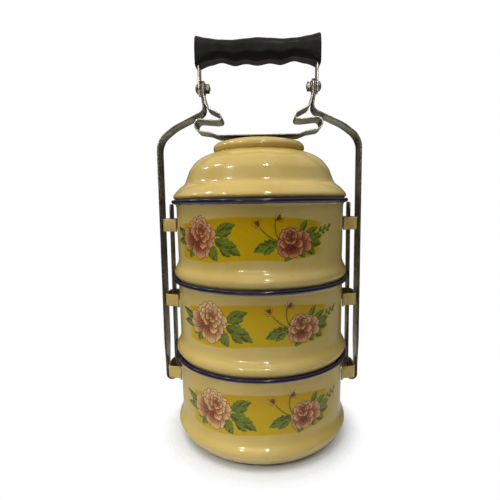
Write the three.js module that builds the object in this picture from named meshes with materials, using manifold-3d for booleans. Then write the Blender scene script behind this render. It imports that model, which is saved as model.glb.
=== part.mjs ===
// Three-tier enamel tiffin carrier.
// Millimetres, +Z up, origin on the table under the middle of the stack, +X to the right, -Y to the front.
// Three nesting enamelled bowls and a domed lid are held between two bent steel straps.
// A zigzag spring strip on the two pivot screws presses the lid down, and a steel bail with a moulded grip swings on the same screws.
import * as THREE from 'three';
import { mergeVertices } from 'three/addons/utils/BufferGeometryUtils.js';
import Module from 'manifold-3d';

// ---------- driving dimensions ----------
const TIER_PITCH = 61.1;      // height from one bowl's base to the next
const TIER_HEIGHT = 69.25;    // one bowl, base to rim
const WALL_R = 66.7;          // outside of the bowl wall
const RIM_R = 70.4;           // outside of the rolled rim
const BULGE_R = 69.8;         // widest part of the bulged foot
const SHEET = 1.0;            // enamelled sheet, steel and both coats
const GAP = 0.3;              // gap between pieces that touch
const ROUND = 36;             // facets round a bowl

const LUG_Z = 44.5;           // underside of a lug above its bowl's base
const LUG_H = 10;             // height of the lug strip
const LUG_OUT = 77.8;         // outside of the lug loop
const LUG_T = 1.5;

const STRAP_T = 1.5;          // side arm strap
const ARM_OUT = 80.5;         // outside of the arm's outer leg
const ARM_W = 17;             // width of the outer leg
const INNER_W = 11;           // width of the inner leg that threads the lugs
const INNER_X = 72.15;        // middle of the inner leg's thickness
const INNER_TOP = 188.6;      // free end of the inner leg
const HOOK_Z = 45;            // centre of the hook under the bottom lug

const PIVOT_Z = 279;          // pivot screws
const TAB_X = 44.35;          // middle of the arm tab's thickness
const TAB_W = 12;             // strap width at the pivots
const SCREW_R = 1.9;
const HOLE_R = 2.25;

const PRESS_T = 1.0;          // lid press strip
const PRESS_W = 23;
const BAR_Z = 240.9;          // middle of the press bar's thickness
const BAR_X = 31.5;           // half length of the flat bar

const BAIL_T = 1.5;
const BAIL_W = 12;
const BAIL_X = 46.15;         // middle of the bail leg's thickness
const CORE_Z = 306;           // bail's cross bar inside the grip

const GRIP_HALF = 48.6;       // half length of the grip
const GROOVE_PITCH = 19;      // finger grooves

// ---------- colours ----------
const cream = { color: 0xd9c48c, roughness: 0.25, metalness: 0.0 };
const lugCream = { color: 0xcfbd86, roughness: 0.3, metalness: 0.0 };
const nickel = { color: 0x8d877a, roughness: 0.38, metalness: 0.9 };
const screwSteel = { color: 0x9a968c, roughness: 0.35, metalness: 0.95 };
const black = { color: 0x121414, roughness: 0.42, metalness: 0.0 };

// ---------- solids ----------
const wasm = await Module();
wasm.setup();

function toSolid(geometry) {
  const g = geometry.index ? geometry.toNonIndexed() : geometry.clone();
  g.deleteAttribute('normal');
  g.deleteAttribute('uv');
  const m = mergeVertices(g, 1e-4);
  const solid = new wasm.Manifold(new wasm.Mesh({
    numProp: 3,
    vertProperties: new Float32Array(m.attributes.position.array),
    triVerts: new Uint32Array(m.index.array),
  }));
  return solid;
}

function toGeometry(solid) {
  const mesh = solid.getMesh();
  const g = new THREE.BufferGeometry();
  const v = mesh.numProp === 3 ? mesh.vertProperties : Float32Array.from(
    { length: mesh.vertProperties.length / mesh.numProp * 3 },
    (_, i) => mesh.vertProperties[Math.floor(i / 3) * mesh.numProp + (i % 3)],
  );
  g.setAttribute('position', new THREE.BufferAttribute(new Float32Array(v), 3));
  g.setIndex(new THREE.BufferAttribute(new Uint32Array(mesh.triVerts), 1));
  g.computeVertexNormals();
  return g;
}

// a shape drawn in X and Z, y0 to y1 deep
function extrudeXZ(shape, y0, y1, curveSegments = 12) {
  const g = new THREE.ExtrudeGeometry(shape, { depth: y1 - y0, bevelEnabled: false, curveSegments });
  g.rotateX(Math.PI / 2); // drawn y becomes Z, depth becomes -Y
  g.translate(0, y1, 0);
  return g;
}

// a shape drawn in Y and Z, x0 to x1 deep
function extrudeYZ(shape, x0, x1, curveSegments = 12) {
  const g = new THREE.ExtrudeGeometry(shape, { depth: x1 - x0, bevelEnabled: false, curveSegments });
  g.applyMatrix4(new THREE.Matrix4().makeBasis(
    new THREE.Vector3(0, 1, 0), new THREE.Vector3(0, 0, 1), new THREE.Vector3(1, 0, 0),
  ));
  g.translate(x0, 0, 0);
  return g;
}

// a shape drawn in X and Y, z0 to z1 high
function extrudeXY(shape, z0, z1, curveSegments = 12) {
  const g = new THREE.ExtrudeGeometry(shape, { depth: z1 - z0, bevelEnabled: false, curveSegments });
  g.translate(0, 0, z0);
  return g;
}

// profile of [radius, z] turned round the Z axis
function turn(profile, segments = ROUND) {
  const g = new THREE.LatheGeometry(profile.map(([r, z]) => new THREE.Vector2(r, z)), segments);
  g.rotateX(Math.PI / 2);
  return g;
}

function polygon(points) {
  return new THREE.Shape(points.map(([a, b]) => new THREE.Vector2(a, b)));
}

// a bent line: [x, z, bend radius] corners, each bend made of short chords
function bend(corners, chord = 22) {
  const out = [];
  corners.forEach(([x, z, r], i) => {
    const p = new THREE.Vector2(x, z);
    if (!r || i === 0 || i === corners.length - 1) { out.push(p); return; }
    const a = new THREE.Vector2(corners[i - 1][0], corners[i - 1][1]).sub(p);
    const b = new THREE.Vector2(corners[i + 1][0], corners[i + 1][1]).sub(p);
    const la = a.length(), lb = b.length();
    a.divideScalar(la); b.divideScalar(lb);
    const half = Math.acos(THREE.MathUtils.clamp(a.dot(b), -1, 1)) / 2;
    const reach = Math.min(r / Math.tan(half), la * 0.5, lb * 0.5);
    const radius = reach * Math.tan(half);
    const mid = a.clone().add(b).normalize().multiplyScalar(radius / Math.sin(half)).add(p);
    const from = p.clone().addScaledVector(a, reach).sub(mid);
    const to = p.clone().addScaledVector(b, reach).sub(mid);
    const turnAngle = Math.atan2(from.x * to.y - from.y * to.x, from.dot(to));
    const n = Math.max(2, Math.ceil(Math.abs(THREE.MathUtils.radToDeg(turnAngle)) / chord));
    for (let k = 0; k <= n; k++) {
      out.push(from.clone().rotateAround(new THREE.Vector2(), turnAngle * k / n).add(mid));
    }
  });
  return out.filter((p, i) => i === 0 || p.distanceTo(out[i - 1]) > 1e-3);
}

// outline of a strip of one thickness that follows a line
function strip(line, thickness) {
  const side = (sign) => line.map((p, i) => {
    const a = line[Math.max(0, i - 1)], b = line[Math.min(line.length - 1, i + 1)];
    const before = p.clone().sub(a), after = b.clone().sub(p);
    if (i === 0) before.copy(after);
    if (i === line.length - 1) after.copy(before);
    before.normalize(); after.normalize();
    const t = before.clone().add(after).normalize();
    const scale = 1 / Math.max(0.5, t.dot(after));
    return new THREE.Vector2(p.x - t.y * sign * scale * thickness / 2, p.y + t.x * sign * scale * thickness / 2);
  });
  return new THREE.Shape([...side(1), ...side(-1).reverse()]);
}

// front view of a strap's end: width and height stations, then a round end about the pivot
function tabOutline(bottomZ, wideHalf, taperLow, taperHigh, half) {
  const s = new THREE.Shape();
  s.moveTo(-wideHalf, bottomZ);
  s.lineTo(wideHalf, bottomZ);
  s.lineTo(wideHalf, taperLow);
  s.lineTo(half, taperHigh);
  s.lineTo(half, PIVOT_Z);
  s.absarc(0, PIVOT_Z, half, 0, Math.PI, false);
  s.lineTo(-half, taperHigh);
  s.lineTo(-wideHalf, taperLow);
  s.closePath();
  return s;
}

function rodX(radius, x0, x1, segments = 16) {
  const g = new THREE.CylinderGeometry(radius, radius, x1 - x0, segments);
  g.rotateZ(Math.PI / 2);
  g.translate((x0 + x1) / 2, 0, PIVOT_Z);
  return g;
}

// ---------- the model ----------
const model = new THREE.Group();

function add(parent, name, geometry, material) {
  const mesh = new THREE.Mesh(geometry, new THREE.MeshStandardMaterial(material));
  mesh.name = name;
  parent.add(mesh);
  return mesh;
}

// ---- one bowl: flat base, bulged foot that nests in the rim below, straight wall, rolled rim ----
const bowlProfile = [
  [0, 0], [56.5, 0], [59.2, 0.7], [61.6, 2.1], [64.2, 4.2], [66.5, 7], [68.7, 10],
  [BULGE_R, 13], [68.6, 16], [67.0, 19], [66.2, 22],
  [WALL_R, 64.6], [67.9, 66.1], [69.6, 66.5], [RIM_R, 67.6], [RIM_R - 0.1, 68.5], [69.3, TIER_HEIGHT],
  [68.4, 69.05], [67.4, 68.1], [66.3, 66.6], [WALL_R - SHEET, 64.8],
  [65.2, 22], [67.5, 16.2], [68.7, 13], [65.6, 7.6], [60.9, 2.9], [56, SHEET],
  [0, SHEET],
];

function bowlGeometry() {
  return toGeometry(toSolid(turn(bowlProfile)));
}

// ---- lug: a strip bent into a D with its two feet against the wall ----
function lugShape() {
  const wall = WALL_R + GAP;
  const footEnd = 15.5, legY = 11.2, frontY = 7.4;
  const s = [];
  const onWall = (r, y) => [Math.sqrt(r * r - y * y), y];
  // outside of the loop, from one foot to the other
  s.push(onWall(wall, footEnd));
  s.push(onWall(wall + LUG_T, footEnd - 0.4));
  s.push([onWall(wall + LUG_T, legY + 1.4)[0], legY + 1.4]);
  s.push([69.2, legY + 0.5]);
  s.push([72.6, 10.9], [75.2, 9.7], [77.1, frontY + 0.4], [LUG_OUT, 5.2]);
  s.push([LUG_OUT, -5.2], [77.1, -frontY - 0.4], [75.2, -9.7], [72.6, -10.9]);
  s.push([69.2, -legY - 0.5]);
  s.push([onWall(wall + LUG_T, legY + 1.4)[0], -legY - 1.4]);
  s.push([onWall(wall + LUG_T, footEnd - 0.4)[0], -footEnd + 0.4]);
  s.push([onWall(wall, footEnd)[0], -footEnd]);
  // inside of the loop
  s.push([onWall(wall, legY - 0.9)[0], -legY + 0.9]);
  s.push([71.9, -9.5], [74.2, -8.5], [75.8, -6.8], [LUG_OUT - LUG_T, -4.6]);
  s.push([LUG_OUT - LUG_T, 4.6], [75.8, 6.8], [74.2, 8.5], [71.9, 9.5]);
  s.push([onWall(wall, legY - 0.9)[0], legY - 0.9]);
  return polygon(s.reverse());
}

function lugGeometry(side) {
  const g = extrudeXY(lugShape(), LUG_Z, LUG_Z + LUG_H);
  if (side < 0) g.rotateZ(Math.PI);
  return g;
}

['bottom', 'middle', 'top'].forEach((tier, i) => {
  const group = new THREE.Group();
  group.position.z = i * TIER_PITCH;
  add(group, `${tier}_bowl`, bowlGeometry(), cream);
  add(group, `${tier}_lug_left`, lugGeometry(-1), lugCream);
  add(group, `${tier}_lug_right`, lugGeometry(1), lugCream);
  model.add(group);
});

// ---- lid: skirt that nests in the top rim, flange, dome and raised boss ----
const lidProfile = [
  [63.6, 185.6], [64.6, 185.6], [65.2, 187.6], [67.3, 191.6],
  [69.0, 193.8], [68.3, 195.2], [66.2, 197.9], [63.6, 200.6], [60.8, 202.6], [59.3, 204.6], [57.9, 208],
  [55.5, 214.3], [50.5, 220.7], [45.1, 224.5], [39.2, 227.0], [35.6, 227.9],
  [34.8, 228.5], [35.7, 229.6], [36.0, 231.4], [35.5, 233.3], [34.0, 234.9], [31.8, 235.8],
  [28, 236.8], [20, 238.3], [10, 239.6], [0, 240.0],
  [0, 239.0], [20, 237.2], [28, 235.7], [33.2, 233.9], [34.9, 231.4],
  [33.7, 228.4], [34.6, 226.9], [39.6, 225.6], [49.7, 219.9], [54.5, 213.8],
  [58.4, 203.8], [62.8, 199.8], [65.3, 197.2], [67.4, 194.0], [66.0, 191.6],
  [63.6, 185.6],
];
add(model, 'lid', toGeometry(toSolid(turn(lidProfile))), cream);

// ---- side arm: outer leg, hook under the bottom lug, inner leg through the lugs, shoulder and pivot tab ----
function armGeometry(side) {
  const outer = ARM_OUT - STRAP_T / 2;
  const line = bend([
    [INNER_X, INNER_TOP],
    [INNER_X, HOOK_Z - 3.8, 3.8],
    [outer, HOOK_Z - 3.8, 3.8],
    [outer, 238.6, 22],
    [66.6, 248.7, 30],
    [41.8, 260.6, 6],
    [TAB_X, 273.5, 6],
    [TAB_X, 290],
  ]);
  let solid = toSolid(extrudeXZ(strip(line, STRAP_T), -ARM_W / 2, ARM_W / 2));
  // rounded, narrower pivot tab
  solid = solid.intersect(toSolid(extrudeYZ(tabOutline(0, ARM_W / 2, 264, 273, TAB_W / 2), 0, 100)));
  // narrower inner leg, tapering into the hook
  for (const s of [-1, 1]) {
    const cut = polygon(s > 0
      ? [[INNER_W / 2, 46], [20, 46], [20, 230], [INNER_W / 2, 230]]
      : [[-20, 46], [-INNER_W / 2, 46], [-INNER_W / 2, 230], [-20, 230]]);
    solid = solid.subtract(toSolid(extrudeYZ(cut, 60, 75.5)));
    const taper = polygon(s > 0
      ? [[INNER_W / 2, 30], [20, 30], [20, 78], [ARM_W / 2, 78], [INNER_W / 2, 50]]
      : [[-20, 30], [-INNER_W / 2, 30], [-INNER_W / 2, 50], [-ARM_W / 2, 78], [-20, 78]]);
    solid = solid.subtract(toSolid(extrudeYZ(taper, 60, 90)));
  }
  solid = solid.subtract(toSolid(rodX(HOLE_R, 40, 50)));
  const g = toGeometry(solid);
  if (side < 0) g.rotateZ(Math.PI);
  return g;
}
add(model, 'left_arm', armGeometry(-1), nickel);
add(model, 'right_arm', armGeometry(1), nickel);

// ---- lid press: one spring strip, pivot tabs, two folds on each side and the flat bar ----
function pressGeometry() {
  const tab = 42.8;
  const half = bend([
    [tab, 290],
    [tab, 273.5, 6],
    [39.8, 262.5, 5],
    [29.2, 257.2, 4],
    [28.2, 252.8, 2.2],
    [33.5, 252.4, 2],
    [49.4, 253.9, 4.4],
    [49.4, 245.2, 4.4],
    [38, 243.5, 3],
    [BAR_X, BAR_Z, 3],
    [0, BAR_Z],
  ]);
  const mirrored = half.slice(0, -1).reverse().map((p) => new THREE.Vector2(-p.x, p.y));
  let solid = toSolid(extrudeXZ(strip([...half, ...mirrored], PRESS_T), -PRESS_W / 2, PRESS_W / 2));
  solid = solid.intersect(toSolid(extrudeYZ(tabOutline(200, PRESS_W / 2, 261, 273, TAB_W / 2), -80, 80)));
  solid = solid.subtract(toSolid(rodX(HOLE_R, -50, 50)));
  return toGeometry(solid);
}
add(model, 'lid_press', pressGeometry(), nickel);

// ---- pivot screws, washers and nuts ----
function ringYZ(outer, inner, x0, x1, segments = 18) {
  return toSolid(rodX(outer, x0, x1, segments)).subtract(toSolid(rodX(inner, x0 - 1, x1 + 1, 16)));
}

function screwGeometry() {
  // shank, then a low round head outside the bail tab
  const profile = [[0, 37.9], [SCREW_R - 0.4, 37.9], [SCREW_R, 38.4], [SCREW_R, 47.2], [4.0, 47.2], [4.0, 47.9], [3.3, 48.9], [1.8, 49.5], [0, 49.6]];
  const g = turn(profile, 16);
  g.rotateY(Math.PI / 2);
  g.translate(0, 0, PIVOT_Z);
  return toGeometry(toSolid(g));
}

function nutGeometry() {
  const g = new THREE.CylinderGeometry(3.9, 3.9, 2.4, 6);
  g.rotateZ(Math.PI / 2);
  g.translate(38.5 + 1.2, 0, PIVOT_Z);
  return toGeometry(toSolid(g).subtract(toSolid(rodX(HOLE_R, 30, 50))));
}

const turned = (g, side) => { if (side < 0) g.rotateZ(Math.PI); return g; };
for (const [name, side] of [['left', -1], ['right', 1]]) {
  add(model, `pivot_screw_${name}`, turned(screwGeometry(), side), screwSteel);
  add(model, `pivot_washer_${name}`, turned(toGeometry(ringYZ(4.2, HOLE_R, 41.2, 42.0)), side), screwSteel);
  add(model, `pivot_nut_${name}`, turned(nutGeometry(), side), screwSteel);
}

// ---- handle: steel bail with its cross bar inside the moulded grip ----
const bailLine = bend([
  [BAIL_X, 268],
  [BAIL_X, CORE_Z, 4],
  [-BAIL_X, CORE_Z, 4],
  [-BAIL_X, 268],
]);

function bailEndOutline(half, top) {
  const s = new THREE.Shape();
  s.absarc(0, PIVOT_Z, half, Math.PI, Math.PI * 2, false);
  s.lineTo(half, top);
  s.lineTo(-half, top);
  s.closePath();
  return s;
}

let bail = toSolid(extrudeXZ(strip(bailLine, BAIL_T), -BAIL_W / 2, BAIL_W / 2));
bail = bail.intersect(toSolid(extrudeYZ(bailEndOutline(BAIL_W / 2, 330), -80, 80)));
bail = bail.subtract(toSolid(rodX(HOLE_R, -60, 60)));
add(model, 'handle_bail', toGeometry(bail), nickel);

// grip: stations along X, each a closed section with a round top, flat sides and flat underside
const topLine = [[-48.6, 318.6], [-40, 316.4], [-30, 314.9], [-20, 314.5], [-10, 315.2], [0, 316], [10, 315.2], [20, 314.5], [30, 314.9], [40, 316.4], [48.6, 318.6]];
const depthLine = [[-48.6, 9.5], [-40, 8.9], [-30, 8.4], [-20, 8.3], [0, 8.5], [20, 8.3], [30, 8.4], [40, 8.9], [48.6, 9.5]];
const footLine = [[-48.6, 8.6], [-40, 7.6], [-30, 6.6], [0, 6.2], [30, 6.6], [40, 7.6], [48.6, 8.6]];

function along(table, x) {
  for (let i = 1; i < table.length; i++) {
    if (x <= table[i][0]) {
      const [x0, a] = table[i - 1], [x1, b] = table[i];
      const t = (x - x0) / (x1 - x0);
      return a + (b - a) * (t * t * (3 - 2 * t) * 0.5 + t * 0.5);
    }
  }
  return table[table.length - 1][1];
}

function gripUnderside(x) {
  const a = Math.abs(x);
  if (a >= 2 * GROOVE_PITCH) {
    const t = (a - 2 * GROOVE_PITCH) / (GRIP_HALF - 2 * GROOVE_PITCH);
    return 298.2 - 4.4 * t * (0.5 + 0.5 * t);
  }
  const outer = a > GROOVE_PITCH;
  const deep = outer ? 2.1 : 1.5;
  const base = outer ? 297.4 : 297.0;
  const wave = 0.5 - 0.5 * Math.cos(2 * Math.PI * x / GROOVE_PITCH);
  const endRise = outer ? 0.8 * (a - GROOVE_PITCH) / GROOVE_PITCH : 0;
  return base + deep * wave + endRise;
}

function gripSection(x) {
  const top = along(topLine, x), d = along(depthLine, x), f = along(footLine, x), low = gripUnderside(x);
  const h = top - low;
  const right = [[f - 0.7, low], [f, low + 0.7], [d, low + h * 0.42], [d, low + h * 0.6], [d * 0.9, low + h * 0.79], [d * 0.66, low + h * 0.93], [d * 0.25, top]];
  return [...right, ...right.slice().reverse().map(([y, z]) => [-y, z])];
}

function gripGeometry() {
  const xs = [];
  const n = 26;
  for (let i = 0; i <= n; i++) xs.push(-GRIP_HALF + 2 * GRIP_HALF * i / n);
  const positions = [], index = [];
  const sections = xs.map(gripSection);
  const m = sections[0].length;
  sections.forEach((sec, i) => sec.forEach(([y, z]) => positions.push(xs[i], y, z)));
  for (let i = 0; i < n; i++) {
    for (let j = 0; j < m; j++) {
      const a = i * m + j, b = i * m + (j + 1) % m, c = a + m, d = b + m;
      index.push(a, b, d, a, d, c);
    }
  }
  for (let j = 1; j < m - 1; j++) {
    index.push(0, j + 1, j);
    const o = n * m;
    index.push(o, o + j, o + j + 1);
  }
  const g = new THREE.BufferGeometry();
  g.setAttribute('position', new THREE.Float32BufferAttribute(positions, 3));
  g.setIndex(index);
  // tunnel for the bail
  const tunnelLine = bend([[BAIL_X, 280], [BAIL_X, CORE_Z, 4], [-BAIL_X, CORE_Z, 4], [-BAIL_X, 280]]);
  const tunnel = toSolid(extrudeXZ(strip(tunnelLine, BAIL_T + 2 * GAP), -BAIL_W / 2 - GAP, BAIL_W / 2 + GAP));
  return toGeometry(toSolid(g).subtract(tunnel));
}
add(model, 'handle_grip', gripGeometry(), black);

export default model;
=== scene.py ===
# Three-tier enamel tiffin carrier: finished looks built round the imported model.
# Metres, +Z up, origin on the floor under the middle of the stack, -Y to the front.
import math

import bmesh
import bpy
import numpy as np
from mathutils import Matrix, Vector


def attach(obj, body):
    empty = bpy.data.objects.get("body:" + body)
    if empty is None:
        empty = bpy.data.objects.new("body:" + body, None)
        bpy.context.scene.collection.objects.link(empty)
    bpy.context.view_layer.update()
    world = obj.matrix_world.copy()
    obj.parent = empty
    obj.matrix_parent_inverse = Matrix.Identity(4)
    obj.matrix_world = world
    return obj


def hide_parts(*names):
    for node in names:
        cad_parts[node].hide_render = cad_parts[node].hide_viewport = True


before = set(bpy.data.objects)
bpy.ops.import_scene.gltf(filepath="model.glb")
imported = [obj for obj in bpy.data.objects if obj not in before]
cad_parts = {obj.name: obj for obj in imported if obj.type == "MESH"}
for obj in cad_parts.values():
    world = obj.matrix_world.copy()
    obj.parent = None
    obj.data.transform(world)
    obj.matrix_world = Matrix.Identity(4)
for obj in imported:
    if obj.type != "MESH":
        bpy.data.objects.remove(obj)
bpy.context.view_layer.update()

MM = 0.001
PITCH = 61.1
PIVOT_Z = 279.0
WALL_LOW, WALL_HIGH = (66.2, 22.0), (66.7, 64.6)


# ------------------------------------------------------------------ geometry helpers
def smooth_line(points, reach=2.5, n=5, closed=False, keep=()):
    """Corners rounded with short quadratic arcs; long straight runs stay straight."""
    p = [np.array(q[:2], float) for q in points]
    out = []
    count = len(p)
    for i in range(count):
        if not closed and i in (0, count - 1):
            out.append(p[i])
            continue
        if i in keep:
            out.append(p[i])
            continue
        a, b = p[i - 1] - p[i], p[(i + 1) % count] - p[i]
        la, lb = np.linalg.norm(a), np.linalg.norm(b)
        start = p[i] + a / la * min(la / 2, reach)
        end = p[i] + b / lb * min(lb / 2, reach)
        for k in range(n + 1):
            t = k / n
            out.append((1 - t) ** 2 * start + 2 * t * (1 - t) * p[i] + t * t * end)
    clean = [out[0]]
    for q in out[1:]:
        if np.linalg.norm(q - clean[-1]) > 1e-4:
            clean.append(q)
    if closed and np.linalg.norm(clean[0] - clean[-1]) < 1e-4:
        clean.pop()
    return np.array(clean)


def bend(corners, chord=6.0, step=3.0):
    """A bent line of [x, z, bend radius] corners, with true arcs and evenly cut straights."""
    out = []
    for i, c in enumerate(corners):
        p = np.array(c[:2], float)
        r = c[2] if len(c) > 2 else 0
        if not r or i in (0, len(corners) - 1):
            out.append(p)
            continue
        a = np.array(corners[i - 1][:2], float) - p
        b = np.array(corners[i + 1][:2], float) - p
        la, lb = np.linalg.norm(a), np.linalg.norm(b)
        a, b = a / la, b / lb
        half = math.acos(max(-1, min(1, float(a @ b)))) / 2
        reach = min(r / math.tan(half), la * 0.5, lb * 0.5)
        radius = reach * math.tan(half)
        m = a + b
        mid = p + m / np.linalg.norm(m) * radius / math.sin(half)
        f, t = p + a * reach - mid, p + b * reach - mid
        turn = math.atan2(f[0] * t[1] - f[1] * t[0], f @ t)
        n = max(4, math.ceil(abs(math.degrees(turn)) / chord))
        for k in range(n + 1):
            w = turn * k / n
            out.append(mid + np.array([f[0] * math.cos(w) - f[1] * math.sin(w), f[0] * math.sin(w) + f[1] * math.cos(w)]))
    line = [out[0]]
    for q in out[1:]:
        d = np.linalg.norm(q - line[-1])
        if d < 1e-4:
            continue
        n = max(1, math.ceil(d / step))
        for k in range(1, n + 1):
            line.append(line[-1] + (q - line[-1]) / (n - k + 1))
    return np.array(line)


def build(name, verts, faces, materials, smooth=35.0, face_material=None, attributes=None):
    """A mesh object from millimetre points, with consistent outward normals."""
    mesh = bpy.data.meshes.new(name)
    mesh.from_pydata((np.asarray(verts, float) * MM).tolist(), [], faces)
    mesh.update()
    for m in materials:
        mesh.materials.append(m)
    if face_material is not None:
        mesh.polygons.foreach_set("material_index", np.asarray(face_material, np.int32))
    for key, values in (attributes or {}).items():
        layer = mesh.attributes.new(key, "FLOAT_VECTOR", "POINT")
        layer.data.foreach_set("vector", np.asarray(values, np.float32).ravel())
    b = bmesh.new()
    b.from_mesh(mesh)
    bmesh.ops.recalc_face_normals(b, faces=b.faces)
    b.to_mesh(mesh)
    b.free()
    mesh.polygons.foreach_set("use_smooth", np.ones(len(mesh.polygons), bool))
    if smooth:
        mesh.set_sharp_from_angle(angle=math.radians(smooth))
    mesh.update()
    obj = bpy.data.objects.new(name, mesh)
    bpy.context.scene.collection.objects.link(obj)
    return obj


def lathe_data(profile, segments):
    """Profile of [radius, z] from axis to axis, turned round Z. A wire of poles and rings."""
    verts, faces, rings = [], [], []
    for r, z in profile:
        if r < 1e-6:
            rings.append([len(verts)])
            verts.append((0, 0, z))
        else:
            start = len(verts)
            rings.append(list(range(start, start + segments)))
            for k in range(segments):
                a = 2 * math.pi * k / segments
                verts.append((r * math.cos(a), r * math.sin(a), z))
    for a, b in zip(rings, rings[1:]):
        if len(a) == 1 and len(b) == 1:
            continue
        for k in range(segments):
            j = (k + 1) % segments
            if len(a) == 1:
                faces.append((a[0], b[k], b[j]))
            elif len(b) == 1:
                faces.append((a[k], b[0], a[j]))
            else:
                faces.append((a[k], b[k], b[j], a[j]))
    return verts, faces


def rounded_rect(half_w, half_t, r, n=4):
    """Ring of (across, through) points of a strip's section with rounded edges."""
    r = min(r, half_w * 0.95, half_t * 0.98)
    pts = []
    for cx, cy, start in ((1, 1, 0), (-1, 1, 90), (-1, -1, 180), (1, -1, 270)):
        for k in range(n + 1):
            a = math.radians(start + 90 * k / n)
            pts.append((cx * (half_w - r) + r * math.cos(a), cy * (half_t - r) + r * math.sin(a)))
    return pts


def sweep(name, line, thickness, half_widths, materials, edge=0.45, cap=0.35, swap=False):
    """A strip of sheet metal along a line in X and Z, its width along Y. swap lays the line in X and Y, with its width along Z.
    "strip" holds the place along and across in metres and how near the edge; "skin" is 1 on the left of the line and -1 on the right."""
    line = np.asarray(line, float)
    count = len(line)
    tangent = np.gradient(line, axis=0)
    tangent /= np.linalg.norm(tangent, axis=1)[:, None]
    normal = np.stack([-tangent[:, 1], tangent[:, 0]], axis=1)
    length = np.concatenate([[0], np.cumsum(np.linalg.norm(np.diff(line, axis=0), axis=1))])
    rings = []
    for i in range(count):
        rings.append((line[i], normal[i], half_widths[i], thickness / 2, length[i]))
    if cap:
        # ends eased in over a small chamfer
        for end, at, step in ((0, 0, 1), (1, count - 1, -1)):
            p, nrm, w, t, s = rings[0] if end == 0 else rings[-1]
            q = (p, nrm, max(w - cap, w * 0.6), max(t - cap, t * 0.5), s)
            inner = (p + tangent[at] * step * cap, nrm, w, t, s)
            if end == 0:
                rings[0] = inner
                rings.insert(0, q)
            else:
                rings[-1] = inner
                rings.append(q)
    verts, faces, attr, skin = [], [], [], []
    size = None
    for p, nrm, w, t, s in rings:
        ring = rounded_rect(w, t, edge)
        size = len(ring)
        for across, through in ring:
            x, z = p + nrm * through
            verts.append((x, across, z) if not swap else (x, z, across))
            attr.append((s * MM, across * MM, abs(across) / max(w, 1e-6)))
            skin.append((through / t, 0, 0))
    for i in range(len(rings) - 1):
        for k in range(size):
            j = (k + 1) % size
            faces.append((i * size + k, i * size + j, (i + 1) * size + j, (i + 1) * size + k))
    faces.append(tuple(range(size)))
    faces.append(tuple(range((len(rings) - 1) * size, len(rings) * size)))
    return build(name, verts, faces, materials, attributes={"strip": attr, "skin": skin})


def cut(obj, cutter, solver="EXACT"):
    """Cuts one closed solid out of another for good."""
    m = obj.modifiers.new("cut", "BOOLEAN")
    m.operation = "DIFFERENCE"
    m.solver = solver
    m.object = cutter
    bpy.context.view_layer.update()
    graph = bpy.context.evaluated_depsgraph_get()
    made = bpy.data.meshes.new_from_object(obj.evaluated_get(graph), preserve_all_data_layers=True, depsgraph=graph)
    obj.modifiers.clear()
    old = obj.data
    obj.data = made
    made.name = old.name
    bpy.data.meshes.remove(old)
    bpy.data.objects.remove(cutter)
    made.polygons.foreach_set("use_smooth", np.ones(len(made.polygons), bool))
    made.set_sharp_from_angle(angle=math.radians(35))
    return obj


def rod(radius, x0, x1, z=PIVOT_Z, segments=40):
    verts, faces = [], []
    for x in (x0, x1):
        for k in range(segments):
            a = 2 * math.pi * k / segments
            verts.append((x, radius * math.cos(a), z + radius * math.sin(a)))
    for k in range(segments):
        j = (k + 1) % segments
        faces.append((k, j, segments + j, segments + k))
    faces.append(tuple(range(segments)))
    faces.append(tuple(range(segments, 2 * segments)))
    return build("cutter", verts, faces, [])


def block(x0, x1, y0, y1, z0, z1):
    verts = [(x, y, z) for x in (x0, x1) for y in (y0, y1) for z in (z0, z1)]
    faces = [(0, 1, 3, 2), (4, 6, 7, 5), (0, 4, 5, 1), (2, 3, 7, 6), (0, 2, 6, 4), (1, 5, 7, 3)]
    return build("cutter", verts, faces, [])


def mirrored(points):
    return [(-x, -y, z) for x, y, z in points]


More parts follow.
